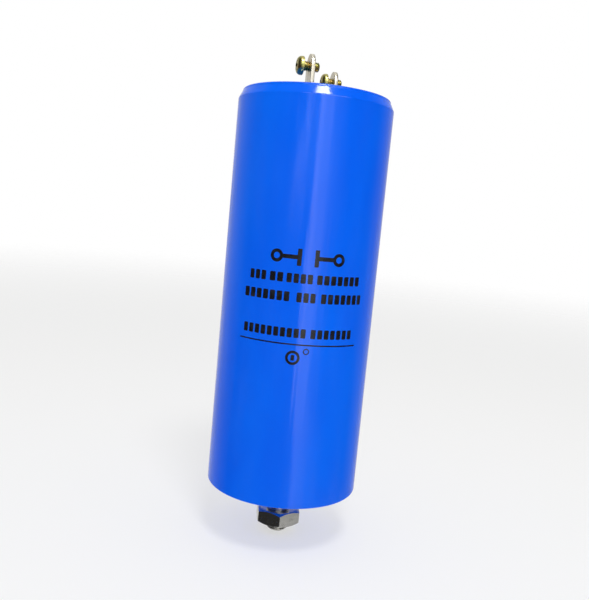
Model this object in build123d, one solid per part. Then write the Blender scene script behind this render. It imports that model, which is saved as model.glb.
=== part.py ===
from build123d import *

import math
import os

# Motor run capacitor: a round moulded case on a stud, with two screw terminals on its lid.
#
# Millimetres. The origin is the middle of the case's seating face, where the stud comes out.
# +Z runs up the case to the terminals. The terminal screws lie along X with their heads to -X.

# Case: a plastic cup, moulded in one piece
CASE_RADIUS = 25.0
CASE_HEIGHT = 124.6
CASE_WALL = 2.0
FLOOR_THICKNESS = 3.0
FOOT_ROUND = 0.4

# Lid: its bevelled flange lies on the rim of the case and its skirt plugs the mouth
LID_BEVEL_HEIGHT = 2.6
LID_BEVEL_INSET = 1.2
LID_EDGE_HEIGHT = 0.8
LID_EDGE_ROUND = 0.7
LID_SKIRT_DEPTH = 5.0
LID_SKIRT_WALL = 1.8
LID_CLEARANCE = 0.1

# Stud: a hexagon-headed bolt, M8 x 1.25, put in from inside the case
STUD_RADIUS = 4.0
STUD_PITCH = 1.25
STUD_LENGTH = 17.8
NECK_LENGTH = 2.0
SHOULDER_STEP = 0.4
TIP_CHAMFER = 1.0
HEAD_ACROSS_FLATS = 13.0
HEAD_HEIGHT = 5.3
POCKET_CLEARANCE = 0.1

# Nut, run part of the way up the stud
NUT_ACROSS_FLATS = 14.0
NUT_THICKNESS = 5.0
NUT_GAP = 9.6
NUT_TURN = -96.4
NUT_COUNTERSINK = 0.4
PITCH_LINE_SHARE = 0.32476
HEX_CHAMFER_ANGLE = 30.0
HEX_CHAMFER_SHARE = 0.95
THREAD_CLEARANCE = 0.05

# Terminals: two bent tabs, riveted to the lid half a turn apart
TERMINAL_SPACING = 20.6
TERMINAL_SHIFT = 1.2
TAB_OFFSET = 6.4
TAB_WIDTH = 7.5
TAB_THICKNESS = 1.25
TAB_HEIGHT = 10.5
TAB_BEND_RADIUS = 0.8

# Terminal screws, M3 x 5 pan head, each backed off its tab
SCREW_RADIUS = 1.5
SCREW_LENGTH = 5.0
SCREW_HEAD_RADIUS = 2.8
SCREW_HEAD_HEIGHT = 2.0
SCREW_HEAD_ROUND = 1.3
SCREW_TIP_CHAMFER = 0.3
SCREW_GAP = 1.8
SCREW_CLEARANCE = 0.05
RECESS_LENGTH = 3.0
RECESS_WIDTH = 0.8
RECESS_DEPTH = 1.1

# Tubular rivets and the solder lugs that they hold under the lid
RIVET_RADIUS = 2.0
RIVET_BORE_RADIUS = 1.3
RIVET_CLEARANCE = 0.05
RIVET_HEAD_MARGIN = 0.45
RIVET_HEAD_THICKNESS = 0.7
RIVET_ROLL_RADIUS = 3.0
RIVET_ROLL_THICKNESS = 0.6
LUG_THICKNESS = 0.8
LUG_EYE_RADIUS = 3.4
LUG_TAIL_RADIUS = 1.8
FRONT_LUG_ANGLE = 60.0

# Leads, their sleeves and the beads of solder that join them
LEAD_RADIUS = 0.6
LEAD_BEND_RADIUS = 1.4
LEAD_FOOT = 6.0
LEAD_CLEARANCE = 0.1
LEAD_END_GAP = 0.2
SLEEVE_WALL = 0.4
SLEEVE_CLEARANCE = 0.05
SLEEVE_END_GAP = 1.6
SOLDER_BASE_RADIUS = 2.2
SOLDER_TOP_RADIUS = 1.3
SOLDER_HEIGHT = 1.5
LUG_SOLDER_RADIUS = 1.5
LUG_SOLDER_HEIGHT = 1.2

# Winding: metallised film on a plastic core, sprayed with metal at both ends and wrapped
LID_SPACE = 9.1
RESIN_WALL = 1.4
CORE_RADIUS = 4.0
CORE_BORE_RADIUS = 2.6
SPRAY_THICKNESS = 0.6
WRAP_THICKNESS = 0.6
PAD_THICKNESS = 2.0
PAD_BEARING = 2.4
FOOT_SPACE = 1.3
RESIN_COVER = 2.5

# Heights and radii that follow from the sizes above
LID_THICKNESS = LID_BEVEL_HEIGHT + LID_EDGE_HEIGHT
LID_TOP = CASE_HEIGHT + LID_THICKNESS
BORE_RADIUS = CASE_RADIUS - CASE_WALL
BOSS_TOP = FLOOR_THICKNESS + HEAD_HEIGHT
PAD_TOP = BOSS_TOP + PAD_THICKNESS
STACK_TOP = CASE_HEIGHT - LID_SPACE
FILM_BOTTOM = PAD_TOP + SPRAY_THICKNESS
FILM_TOP = STACK_TOP - SPRAY_THICKNESS
RESIN_TOP = STACK_TOP + RESIN_COVER
WRAP_RADIUS = BORE_RADIUS - RESIN_WALL
WINDING_RADIUS = WRAP_RADIUS - WRAP_THICKNESS
PAD_BORE_RADIUS = LEAD_FOOT + SOLDER_BASE_RADIUS + FOOT_SPACE
BOSS_RADIUS = PAD_BORE_RADIUS + PAD_BEARING
SHOULDER_RADIUS = STUD_RADIUS + SHOULDER_STEP
STUD_THREAD_RADIUS = STUD_RADIUS - PITCH_LINE_SHARE * STUD_PITCH
RIVET_HEAD_RADIUS = TAB_WIDTH / 2 - RIVET_HEAD_MARGIN
LUG_BOTTOM = CASE_HEIGHT - LUG_THICKNESS
LUG_REACH = math.hypot(TERMINAL_SHIFT, TERMINAL_SPACING / 2)
LEAD_TOP = CASE_HEIGHT - LEAD_END_GAP
LUG_SOLDER_BOTTOM = LUG_BOTTOM - LUG_SOLDER_HEIGHT
SLEEVE_TOP = LUG_SOLDER_BOTTOM - SLEEVE_END_GAP
SCREW_HEIGHT = TAB_HEIGHT - TAB_WIDTH / 2

UP = (Align.CENTER, Align.CENTER, Align.MIN)

# End of the terminal pair: where its rivet stands, which way it faces and where its lug points
FRONT = {"y": -TERMINAL_SPACING / 2, "turn": 0.0, "lug": FRONT_LUG_ANGLE}
REAR = {
    "y": TERMINAL_SPACING / 2,
    "turn": 180.0,
    "lug": math.degrees(math.atan2(-TERMINAL_SPACING / 2, -TERMINAL_SHIFT)),
}


def disc(radius, bottom, top):
    """A round plate about the Z axis, between two heights."""
    return Pos(0, 0, bottom) * Cylinder(radius, top - bottom, align=UP)


def tube(outer, inner, bottom, top):
    """A round tube about the Z axis, between two heights."""
    return disc(outer, bottom, top) - disc(inner, bottom, top)


def frustum(bottom_radius, top_radius, bottom, top):
    """A straight-sided cone stump about the Z axis, between two heights."""
    return Pos(0, 0, bottom) * Cone(bottom_radius, top_radius, top - bottom, align=UP)


def turned(points):
    """A solid turned about the Z axis from an outline of (radius, height) points."""
    outline = make_face(Plane.XZ * Polyline(*points, close=True))
    return revolve(outline, Axis.Z)


def hexagon_corner(across_flats):
    """The distance from the middle of a hexagon to its corners."""
    return across_flats / 2 / math.cos(math.radians(30))


def hexagon(across_flats, bottom, top):
    """A hexagonal prism about the Z axis with a corner towards +X."""
    outline = RegularPolygon(across_flats / 2, 6, major_radius=False)
    return Pos(0, 0, bottom) * extrude(outline, top - bottom)


def chamfered_hexagon(across_flats, bottom, top):
    """A hexagonal prism whose corners are turned off at both ends, as on a nut or a bolt head."""
    corner = hexagon_corner(across_flats)
    face = HEX_CHAMFER_SHARE * across_flats / 2
    drop = (corner - face) * math.tan(math.radians(HEX_CHAMFER_ANGLE))
    barrel = turned(
        [
            (0, bottom),
            (face, bottom),
            (corner, bottom + drop),
            (corner, top - drop),
            (face, top),
            (0, top),
        ]
    )
    return hexagon(across_flats, bottom, top) & barrel


def at_rivet(end):
    """The place of one terminal's rivet on the lid's top face."""
    return Pos(TERMINAL_SHIFT, end["y"], LID_TOP)


def lug_hole(end):
    """Where the lead passes through the tail of one terminal's lug, in the lid's plane."""
    tail = Vector(LUG_REACH, 0, 0).rotate(Axis.Z, end["lug"])
    return (TERMINAL_SHIFT + tail.X, end["y"] + tail.Y)


def head_pocket():
    """The space in the case's floor for the stud's head."""
    return hexagon(HEAD_ACROSS_FLATS + 2 * POCKET_CLEARANCE, FLOOR_THICKNESS, BOSS_TOP)


def case():
    """The cup, with a pocket in its floor that holds the stud's head against turning."""
    shell = disc(CASE_RADIUS, 0, CASE_HEIGHT)
    shell = fillet(shell.edges().group_by(Axis.Z)[0], FOOT_ROUND)
    shell -= disc(BORE_RADIUS, FLOOR_THICKNESS, CASE_HEIGHT)
    shell += disc(BOSS_RADIUS, FLOOR_THICKNESS, BOSS_TOP)
    shell -= head_pocket()
    return shell - disc(SHOULDER_RADIUS + POCKET_CLEARANCE, 0, FLOOR_THICKNESS)


def lid():
    """The bevelled cover, with a skirt that plugs the case and two rivet holes."""
    top_radius = CASE_RADIUS - LID_BEVEL_INSET
    cover = turned(
        [
            (0, CASE_HEIGHT),
            (CASE_RADIUS, CASE_HEIGHT),
            (top_radius, CASE_HEIGHT + LID_BEVEL_HEIGHT),
            (top_radius, LID_TOP),
            (0, LID_TOP),
        ]
    )
    cover = fillet(cover.edges().group_by(Axis.Z)[-1], LID_EDGE_ROUND)
    skirt_radius = BORE_RADIUS - LID_CLEARANCE
    skirt_bottom = CASE_HEIGHT - LID_SKIRT_DEPTH
    cover += tube(skirt_radius, skirt_radius - LID_SKIRT_WALL, skirt_bottom, CASE_HEIGHT)
    for end in (FRONT, REAR):
        hole = disc(RIVET_RADIUS + RIVET_CLEARANCE, -LID_THICKNESS, 0)
        cover -= at_rivet(end) * hole
    return cover


def stud():
    """The bolt that holds the capacitor: its thread is a plain rod at the pitch radius."""
    head = chamfered_hexagon(HEAD_ACROSS_FLATS, FLOOR_THICKNESS, BOSS_TOP)
    shoulder = disc(SHOULDER_RADIUS, 0, FLOOR_THICKNESS)
    neck = disc(STUD_RADIUS, -NECK_LENGTH, 0)
    tip_radius = STUD_THREAD_RADIUS - TIP_CHAMFER
    tip_top = -STUD_LENGTH + TIP_CHAMFER
    thread = disc(STUD_THREAD_RADIUS, tip_top, -NECK_LENGTH)
    tip = frustum(tip_radius, STUD_THREAD_RADIUS, -STUD_LENGTH, tip_top)
    return head + shoulder + neck + thread + tip


def nut():
    """The thin hexagon nut on the stud."""
    top = -NUT_GAP
    bottom = top - NUT_THICKNESS
    bore = STUD_THREAD_RADIUS + THREAD_CLEARANCE
    mouth = bore + NUT_COUNTERSINK
    blank = chamfered_hexagon(NUT_ACROSS_FLATS, bottom, top)
    blank -= disc(bore, bottom, top)
    blank -= frustum(mouth, bore, bottom, bottom + NUT_COUNTERSINK)
    blank -= frustum(bore, mouth, top - NUT_COUNTERSINK, top)
    return Rot(0, 0, NUT_TURN) * blank


def terminal(end):
    """A thick strip bent up into a round-topped tab, with a foot round its rivet."""
    outer = -TAB_OFFSET - TAB_THICKNESS / 2
    inner = outer + TAB_THICKNESS
    heel = TAB_WIDTH / 2
    outline = Plane.XZ * Polyline(
        (heel, 0),
        (outer, 0),
        (outer, TAB_HEIGHT),
        (inner, TAB_HEIGHT),
        (inner, TAB_THICKNESS),
        (heel, TAB_THICKNESS),
        close=True,
    )
    strip = extrude(make_face(outline), TAB_WIDTH / 2, both=True)
    across = strip.edges().filter_by(Axis.Y)
    outside = across.group_by(Axis.Z)[0].sort_by(Axis.X)[0]
    strip = fillet(outside, TAB_BEND_RADIUS + TAB_THICKNESS)
    across = strip.edges().filter_by(Axis.Y)
    inside = across.filter_by_position(Axis.Z, TAB_THICKNESS, TAB_THICKNESS).sort_by(Axis.X)[0]
    strip = fillet(inside, TAB_BEND_RADIUS)
    run = -outer
    plan = Pos(-run / 2, 0, 0) * Rectangle(run, TAB_WIDTH) + Circle(heel)
    strip &= extrude(plan, TAB_HEIGHT)
    face = Pos(0, SCREW_HEIGHT / 2, 0) * Rectangle(TAB_WIDTH, SCREW_HEIGHT)
    face += Pos(0, SCREW_HEIGHT, 0) * Circle(heel)
    strip &= extrude(Plane.YZ * face, run + heel, both=True)
    strip -= disc(RIVET_RADIUS + RIVET_CLEARANCE, 0, TAB_THICKNESS)
    drill = Cylinder(SCREW_RADIUS + SCREW_CLEARANCE, 4 * TAB_THICKNESS)
    strip -= Pos(-TAB_OFFSET, 0, SCREW_HEIGHT) * Rot(0, 90, 0) * drill
    return at_rivet(end) * Rot(0, 0, end["turn"]) * strip


def terminal_screw(end):
    """A pan head screw with a cross recess, its head to -X, through the middle of its tab."""
    head = disc(SCREW_HEAD_RADIUS, -SCREW_HEAD_HEIGHT, 0)
    head = fillet(head.edges().group_by(Axis.Z)[0], SCREW_HEAD_ROUND)
    cross = Rectangle(RECESS_LENGTH, RECESS_WIDTH) + Rectangle(RECESS_WIDTH, RECESS_LENGTH)
    head -= Pos(0, 0, -SCREW_HEAD_HEIGHT) * extrude(cross, RECESS_DEPTH)
    shank = disc(SCREW_RADIUS, 0, SCREW_LENGTH)
    shank = chamfer(shank.edges().group_by(Axis.Z)[-1], SCREW_TIP_CHAMFER)
    side = 1 if end["turn"] else -1
    seat = side * TAB_OFFSET - TAB_THICKNESS / 2 - SCREW_GAP
    return at_rivet(end) * Pos(seat, 0, SCREW_HEIGHT) * Rot(0, 90, 0) * (head + shank)


def rivet(end):
    """A tubular rivet through the terminal's foot, the lid and the solder lug."""
    foot_top = TAB_THICKNESS
    lug_bottom = -LID_THICKNESS - LUG_THICKNESS
    head_top = foot_top + RIVET_HEAD_THICKNESS
    roll_bottom = lug_bottom - RIVET_ROLL_THICKNESS
    body = disc(RIVET_RADIUS, roll_bottom, head_top)
    body += disc(RIVET_HEAD_RADIUS, foot_top, head_top)
    body += disc(RIVET_ROLL_RADIUS, roll_bottom, lug_bottom)
    return at_rivet(end) * (body - disc(RIVET_BORE_RADIUS, roll_bottom, head_top))


def solder_lug(end):
    """A flat strip under the lid with an eye for the rivet and a hole for the lead."""
    strip = Pos(LUG_REACH / 2, 0, 0) * Rectangle(LUG_REACH, 2 * LUG_TAIL_RADIUS)
    strip += Circle(LUG_EYE_RADIUS)
    strip += Pos(LUG_REACH, 0, 0) * Circle(LUG_TAIL_RADIUS)
    strip -= Circle(RIVET_RADIUS + RIVET_CLEARANCE)
    strip -= Pos(LUG_REACH, 0, 0) * Circle(LEAD_RADIUS + LEAD_CLEARANCE)
    plate = Rot(0, 0, end["lug"]) * extrude(strip, LUG_THICKNESS)
    return at_rivet(end) * Pos(0, 0, -LID_THICKNESS - LUG_THICKNESS) * plate


def bent_lead(x, y, level):
    """A round wire whose foot lies along X at one level and whose leg rises to its lug."""
    end = (x + LEAD_FOOT, y, level)
    route = FilletPolyline(end, (x, y, level), (x, y, LEAD_TOP), radius=LEAD_BEND_RADIUS)
    start = Plane(origin=end, z_dir=(-1, 0, 0))
    return sweep(start * Circle(LEAD_RADIUS), path=route)


def short_lead():
    """The lead from the upper sprayed end to the front terminal."""
    x, y = lug_hole(FRONT)
    return bent_lead(x, y, STACK_TOP + LEAD_RADIUS)


def long_lead():
    """The lead from the lower sprayed end, up through the core, to the rear terminal."""
    return bent_lead(0, 0, PAD_TOP - LEAD_RADIUS)


def sleeve_rod(x, y, bottom):
    """The outside of the insulating sleeve on one lead, from above its bend to below its lug."""
    outer = LEAD_RADIUS + SLEEVE_CLEARANCE + SLEEVE_WALL
    return Pos(x, y, 0) * disc(outer, bottom, SLEEVE_TOP)


def short_sleeve_rod():
    """The outside of the sleeve on the short lead."""
    x, y = lug_hole(FRONT)
    return sleeve_rod(x, y, STACK_TOP + LEAD_RADIUS + LEAD_BEND_RADIUS)


def long_sleeve_rod():
    """The outside of the sleeve on the long lead, inside the core."""
    return sleeve_rod(0, 0, PAD_TOP + LEAD_BEND_RADIUS)


def sleeve(rod):
    """A sleeve: its rod, bored for the lead."""
    box = rod.bounding_box()
    middle = box.center()
    bore = disc(LEAD_RADIUS + SLEEVE_CLEARANCE, box.min.Z, box.max.Z)
    return rod - Pos(middle.X, middle.Y, 0) * bore


def upper_foot_bead():
    """The space that the short lead's solder and foot take up together."""
    x, y = lug_hole(FRONT)
    top = STACK_TOP + SOLDER_HEIGHT
    bead = frustum(SOLDER_BASE_RADIUS, SOLDER_TOP_RADIUS, STACK_TOP, top)
    return Pos(x + LEAD_FOOT, y, 0) * bead


def lower_foot_bead():
    """The space that the long lead's solder and foot take up together."""
    bottom = PAD_TOP - SOLDER_HEIGHT
    bead = frustum(SOLDER_TOP_RADIUS, SOLDER_BASE_RADIUS, bottom, PAD_TOP)
    return Pos(LEAD_FOOT, 0, 0) * bead


def upper_foot_solder():
    """The bead that joins the short lead to the upper sprayed end."""
    return upper_foot_bead() - short_lead()


def lower_foot_solder():
    """The bead that joins the long lead to the lower sprayed end."""
    return lower_foot_bead() - long_lead()


def lug_solder(x, y):
    """The bead that joins one lead to its lug, on the lug's underside."""
    bead = frustum(LEAD_RADIUS + LEAD_CLEARANCE, LUG_SOLDER_RADIUS, LUG_SOLDER_BOTTOM, LUG_BOTTOM)
    return Pos(x, y, 0) * (bead - disc(LEAD_RADIUS, LUG_SOLDER_BOTTOM, LUG_BOTTOM))


def winding():
    """The roll of metallised film: the turns are one solid."""
    return tube(WINDING_RADIUS, CORE_RADIUS, FILM_BOTTOM, FILM_TOP)


def winding_core():
    """The plastic tube that the film is wound on."""
    return tube(CORE_RADIUS, CORE_BORE_RADIUS, PAD_TOP, STACK_TOP)


def lower_end_spray():
    """The layer of sprayed metal that joins the film's lower edges."""
    return tube(WINDING_RADIUS, CORE_RADIUS, PAD_TOP, FILM_BOTTOM)


def upper_end_spray():
    """The layer of sprayed metal that joins the film's upper edges."""
    return tube(WINDING_RADIUS, CORE_RADIUS, FILM_TOP, STACK_TOP)


def winding_wrap():
    """The insulating tape round the winding."""
    return tube(WRAP_RADIUS, WINDING_RADIUS, PAD_TOP, STACK_TOP)


def base_pad():
    """The ring that keeps the winding off the stud's head."""
    return tube(WRAP_RADIUS, PAD_BORE_RADIUS, BOSS_TOP, PAD_TOP)


def potting_resin(buried):
    """The resin that was poured round the winding and over it, up to its level under the lid."""
    fill = disc(BORE_RADIUS, FLOOR_THICKNESS, RESIN_TOP) - head_pocket()
    for piece in buried:
        fill -= piece
    return fill


def build_pieces():
    """Every piece by its name, in the order that it would be put together."""
    pieces = {
        "case": case(),
        "mounting_stud": stud(),
        "base_pad": base_pad(),
        "winding_core": winding_core(),
        "film_winding": winding(),
        "lower_end_spray": lower_end_spray(),
        "upper_end_spray": upper_end_spray(),
        "winding_wrap": winding_wrap(),
        "short_lead": short_lead(),
        "long_lead": long_lead(),
    }
    buried = [short_sleeve_rod(), long_sleeve_rod(), upper_foot_bead(), lower_foot_bead()]
    pieces["potting_resin"] = potting_resin(buried + list(pieces.values()))
    pieces["upper_foot_solder"] = upper_foot_solder()
    pieces["lower_foot_solder"] = lower_foot_solder()
    pieces["short_lead_sleeve"] = sleeve(short_sleeve_rod())
    pieces["long_lead_sleeve"] = sleeve(long_sleeve_rod())
    pieces["lid"] = lid()
    for name, end in (("front", FRONT), ("rear", REAR)):
        pieces[f"{name}_terminal"] = terminal(end)
        pieces[f"{name}_solder_lug"] = solder_lug(end)
        pieces[f"{name}_lug_solder"] = lug_solder(*lug_hole(end))
        pieces[f"{name}_rivet"] = rivet(end)
        pieces[f"{name}_terminal_screw"] = terminal_screw(end)
    pieces["mounting_nut"] = nut()
    return pieces


def main():
    """Write one STEP file for each piece."""
    os.makedirs("parts", exist_ok=True)
    for name, piece in build_pieces().items():
        export_step(piece, f"parts/{name}.step")


main()
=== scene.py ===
import math

import bmesh
import bpy
from bpy.props import FloatProperty, FloatVectorProperty, IntProperty, PointerProperty
from mathutils import Matrix, Vector


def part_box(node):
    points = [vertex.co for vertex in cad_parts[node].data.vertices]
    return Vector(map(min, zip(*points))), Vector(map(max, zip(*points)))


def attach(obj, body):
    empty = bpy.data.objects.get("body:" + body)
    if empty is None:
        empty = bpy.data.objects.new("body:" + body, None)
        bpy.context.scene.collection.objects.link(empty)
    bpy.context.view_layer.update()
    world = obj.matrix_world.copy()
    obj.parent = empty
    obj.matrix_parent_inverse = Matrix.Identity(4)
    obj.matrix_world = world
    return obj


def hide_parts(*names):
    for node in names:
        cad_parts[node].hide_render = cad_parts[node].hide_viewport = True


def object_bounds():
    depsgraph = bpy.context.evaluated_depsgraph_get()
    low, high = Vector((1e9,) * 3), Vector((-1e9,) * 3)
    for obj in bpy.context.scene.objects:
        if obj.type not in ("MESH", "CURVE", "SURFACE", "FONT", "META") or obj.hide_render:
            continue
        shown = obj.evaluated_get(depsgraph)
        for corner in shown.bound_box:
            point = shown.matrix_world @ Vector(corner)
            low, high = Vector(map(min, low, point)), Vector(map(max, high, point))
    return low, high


bl_info = {
    "name": "Motor run capacitor",
    "version": (1, 0, 0),
    "blender": (4, 5, 0),
    "location": "View3D > Sidebar > Capacitor",
    "description": "Builds the visible pieces, finishes and studio of a motor run capacitor",
    "category": "Object",
}

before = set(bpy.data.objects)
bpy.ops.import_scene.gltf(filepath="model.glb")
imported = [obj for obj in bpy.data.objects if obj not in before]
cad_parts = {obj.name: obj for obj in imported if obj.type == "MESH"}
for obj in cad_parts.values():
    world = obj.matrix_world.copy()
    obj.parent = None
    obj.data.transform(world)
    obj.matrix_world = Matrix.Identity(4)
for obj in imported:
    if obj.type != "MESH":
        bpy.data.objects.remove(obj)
CAD_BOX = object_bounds()

# Lengths are written in millimetres and made into metres where a mesh is stored
MM = 0.001
CASE_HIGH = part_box("case")[1]
LID_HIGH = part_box("lid")[1]
STUD_LOW, STUD_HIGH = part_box("mounting_stud")
NUT_LOW, NUT_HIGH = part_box("mounting_nut")
CASE_TOP_MM = CASE_HIGH.z / MM
LID_TOP_MM = LID_HIGH.z / MM

# The way that the front of the studio faces, in degrees from -Y towards +X
FRONT_TURN = -13.0


def linear(code):
    """The linear colour of an sRGB hex code such as "#0A62F8"."""
    parts = [int(code[i : i + 2], 16) / 255 for i in (1, 3, 5)]
    return tuple(c / 12.92 if c <= 0.04045 else ((c + 0.055) / 1.055) ** 2.4 for c in parts)


def length_prop(name, description, default_mm):
    """A length that a user may change, kept in metres."""
    return FloatProperty(
        name=name, description=description, default=default_mm * MM, min=0.0,
        precision=5, subtype="DISTANCE", unit="LENGTH",
    )


def colour_prop(name, description, code):
    """A colour that a user may change, from its sRGB hex code."""
    return FloatVectorProperty(
        name=name, description=description, default=linear(code), min=0.0, max=1.0,
        size=3, subtype="COLOR",
    )


class CapacitorSizes(bpy.types.PropertyGroup):
    """Sizes of the visible pieces."""

    wall_radius: length_prop("Wall radius", "Radius of the moulded wall under its print", 24.985)
    foot_round: length_prop("Foot round", "Rounding of the case's lower edge", 0.4)
    crease_round: length_prop(
        "Crease round", "Rounding where the lid's bevel leaves the wall", 1.1
    )
    lid_edge_round: length_prop("Lid edge round", "Rounding of the lid's top edge", 0.7)
    tab_bevel: length_prop("Tab bevel", "Softening of the terminals' edges", 0.2)
    nut_across_flats: length_prop("Nut across flats", "Width of the nut over two flats", 14.0)
    head_across_flats: length_prop("Head across flats", "Width of the stud's head", 13.0)
    stud_pitch: length_prop("Stud pitch", "Rise of the stud's thread in one turn", 1.25)
    screw_pitch: length_prop("Screw pitch", "Rise of the terminal screws' thread", 0.5)
    wall_columns: IntProperty(
        name="Wall columns", description="Columns of faces round the case and the lid",
        default=240, min=24, step=12,
    )


class CapacitorColours(bpy.types.PropertyGroup):
    """Colours of the finishes."""

    case_blue: colour_prop("Case blue", "Blue of the moulded case and lid", "#006BFF")
    case_deep: colour_prop(
        "Case deep blue", "Blue of the thicker, less scuffed moulding", "#0062F8"
    )
    ink: colour_prop("Ink", "Black of the marks printed on the wall", "#14151C")
    nickel: colour_prop("Nickel", "Colour of the plating on the stud and the nut", "#D2D1CC")
    tin: colour_prop("Tin", "Colour of the plating on the terminals and rivets", "#E2DCCB")
    zinc_yellow: colour_prop("Yellow zinc", "Colour of the terminal screws", "#C9BC78")
    floor: colour_prop("Floor", "Colour of the studio floor", "#F6F6F5")


# ---------------------------------------------------------------- finishes


def add_node(tree, kind, inputs=None, output=None, **settings):
    """Add one node, with its settings, and fill or link its inputs. It returns the node,
    or the output that is asked for."""
    made = tree.nodes.new(kind)
    for key, value in settings.items():
        setattr(made, key, value)
    for key, value in (inputs or {}).items():
        socket = made.inputs[key]
        if isinstance(value, bpy.types.NodeSocket):
            tree.links.new(value, socket)
        else:
            socket.default_value = value
    return made if output is None else made.outputs[output]


def grain(tree, size_mm, stretch=(1, 1, 1), detail=2.0, seed=0.0):
    """Noise over the object whose blotches are about size_mm across before the stretch."""
    place = add_node(tree, "ShaderNodeTexCoord")
    scale = [1 / (size_mm * MM * s) for s in stretch]
    scaled = add_node(
        tree, "ShaderNodeMapping",
        {"Vector": place.outputs["Object"], "Location": (seed, seed, seed), "Scale": scale},
    )
    return add_node(
        tree, "ShaderNodeTexNoise",
        {"Vector": scaled.outputs[0], "Scale": 0.5, "Detail": detail, "Roughness": 0.55},
    ).outputs["Fac"]


def rgba(colour):
    """A colour as a socket takes it: a link stays as it is."""
    return colour if isinstance(colour, bpy.types.NodeSocket) else (*colour, 1.0)


def new_tree(name):
    """A new material and its empty node tree."""
    material = bpy.data.materials.new(name)
    material.use_nodes = True
    material.node_tree.nodes.clear()
    return material, material.node_tree


def close_tree(tree, colour, roughness, height=None, relief_mm=0.0, **sockets):
    """The shader at the end of a tree, with its relief, and the material's output."""
    inputs = {"Base Color": rgba(colour), "Roughness": roughness}
    inputs.update({key.replace("_", " "): value for key, value in sockets.items()})
    if height is not None:
        inputs["Normal"] = add_node(
            tree, "ShaderNodeBump",
            {"Height": height, "Strength": 1.0, "Distance": relief_mm * MM}, 0,
        )
    shader = add_node(tree, "ShaderNodeBsdfPrincipled", inputs)
    add_node(tree, "ShaderNodeOutputMaterial", {"Surface": shader.outputs[0]})


def simple_finish(name, first, second, size_mm, rough, relief_mm, stretch=(1, 1, 1), **sockets):
    """A finish whose colour, roughness and relief all follow one grain."""
    material, tree = new_tree(name)
    noise = grain(tree, size_mm, stretch, detail=3.0)
    share = add_node(
        tree, "ShaderNodeMapRange", {"Value": noise, "From Min": 0.35, "From Max": 0.65}, 0,
        interpolation_type="SMOOTHSTEP",
    )
    colour = add_node(
        tree, "ShaderNodeMix", {0: share, 6: rgba(linear(first)), 7: rgba(linear(second))}, 2,
        data_type="RGBA",
    )
    roughness = add_node(
        tree, "ShaderNodeMapRange",
        {"Value": noise, "From Min": 0.3, "From Max": 0.7, "To Min": rough[0], "To Max": rough[1]},
        0, interpolation_type="SMOOTHSTEP",
    )
    close_tree(tree, colour, roughness, noise, relief_mm, **sockets)
    return material


def moulded_polypropylene(colours):
    """Polypropylene, injection moulded: glossy and full in colour, with faint lines up the
    draw of the mould that make the edges of a reflection waver, and a little orange peel."""
    material, tree = new_tree("moulded_polypropylene")
    cloud = grain(tree, 14.0, (1, 1, 2.5), detail=3.0)
    colour = add_node(
        tree, "ShaderNodeMix",
        {
            0: add_node(
                tree, "ShaderNodeMapRange", {"Value": cloud, "From Min": 0.35, "From Max": 0.65},
                0, interpolation_type="SMOOTHSTEP",
            ),
            6: rgba(colours.case_deep), 7: rgba(colours.case_blue),
        },
        2, data_type="RGBA",
    )
    # Draw lines are 1.5 to 3 mm apart and 30 to 60 mm long; they show only in patches
    lines = grain(tree, 1.0, (1, 1, 30), detail=1.5, seed=3.0)
    patches = add_node(
        tree, "ShaderNodeMapRange",
        {
            "Value": grain(tree, 13.0, (1, 1, 1.6), seed=9.0), "From Min": 0.42, "From Max": 0.62,
            "To Min": 0.12, "To Max": 1.0,
        },
        0, interpolation_type="SMOOTHSTEP",
    )
    peel = grain(tree, 1.1, seed=5.0)
    height = add_node(
        tree, "ShaderNodeMath",
        {
            0: add_node(tree, "ShaderNodeMath", {0: lines, 1: patches}, 0, operation="MULTIPLY"),
            1: add_node(tree, "ShaderNodeMath", {0: peel, 1: 0.12}, 0, operation="MULTIPLY"),
        },
        0, operation="ADD",
    )
    scuffs = add_node(
        tree, "ShaderNodeMapRange",
        {
            "Value": grain(tree, 3.0, (1, 1, 6), detail=4.0, seed=1.0), "From Min": 0.35,
            "From Max": 0.75, "To Min": 0.11, "To Max": 0.2,
        },
        0, interpolation_type="SMOOTHSTEP",
    )
    close_tree(tree, colour, scuffs, height, 0.11)
    return material


def printed_ink(colours):
    """Solvent ink, pad printed: black, half matt and a little uneven where it is thin."""
    material, tree = new_tree("pad_printed_ink")
    thin = grain(tree, 1.2, detail=3.0)
    worn = tuple(min(1.0, c * 2.2 + 0.012) for c in colours.ink)
    colour = add_node(
        tree, "ShaderNodeMix",
        {
            0: add_node(
                tree, "ShaderNodeMapRange", {"Value": thin, "From Min": 0.5, "From Max": 0.8}, 0,
                interpolation_type="SMOOTHSTEP",
            ),
            6: rgba(colours.ink), 7: rgba(worn),
        },
        2, data_type="RGBA",
    )
    close_tree(
        tree, colour,
        add_node(
            tree, "ShaderNodeMapRange",
            {"Value": thin, "From Min": 0.3, "From Max": 0.7, "To Min": 0.24, "To Max": 0.36}, 0,
            interpolation_type="SMOOTHSTEP",
        ),
        thin, 0.004,
    )
    return material


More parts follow.
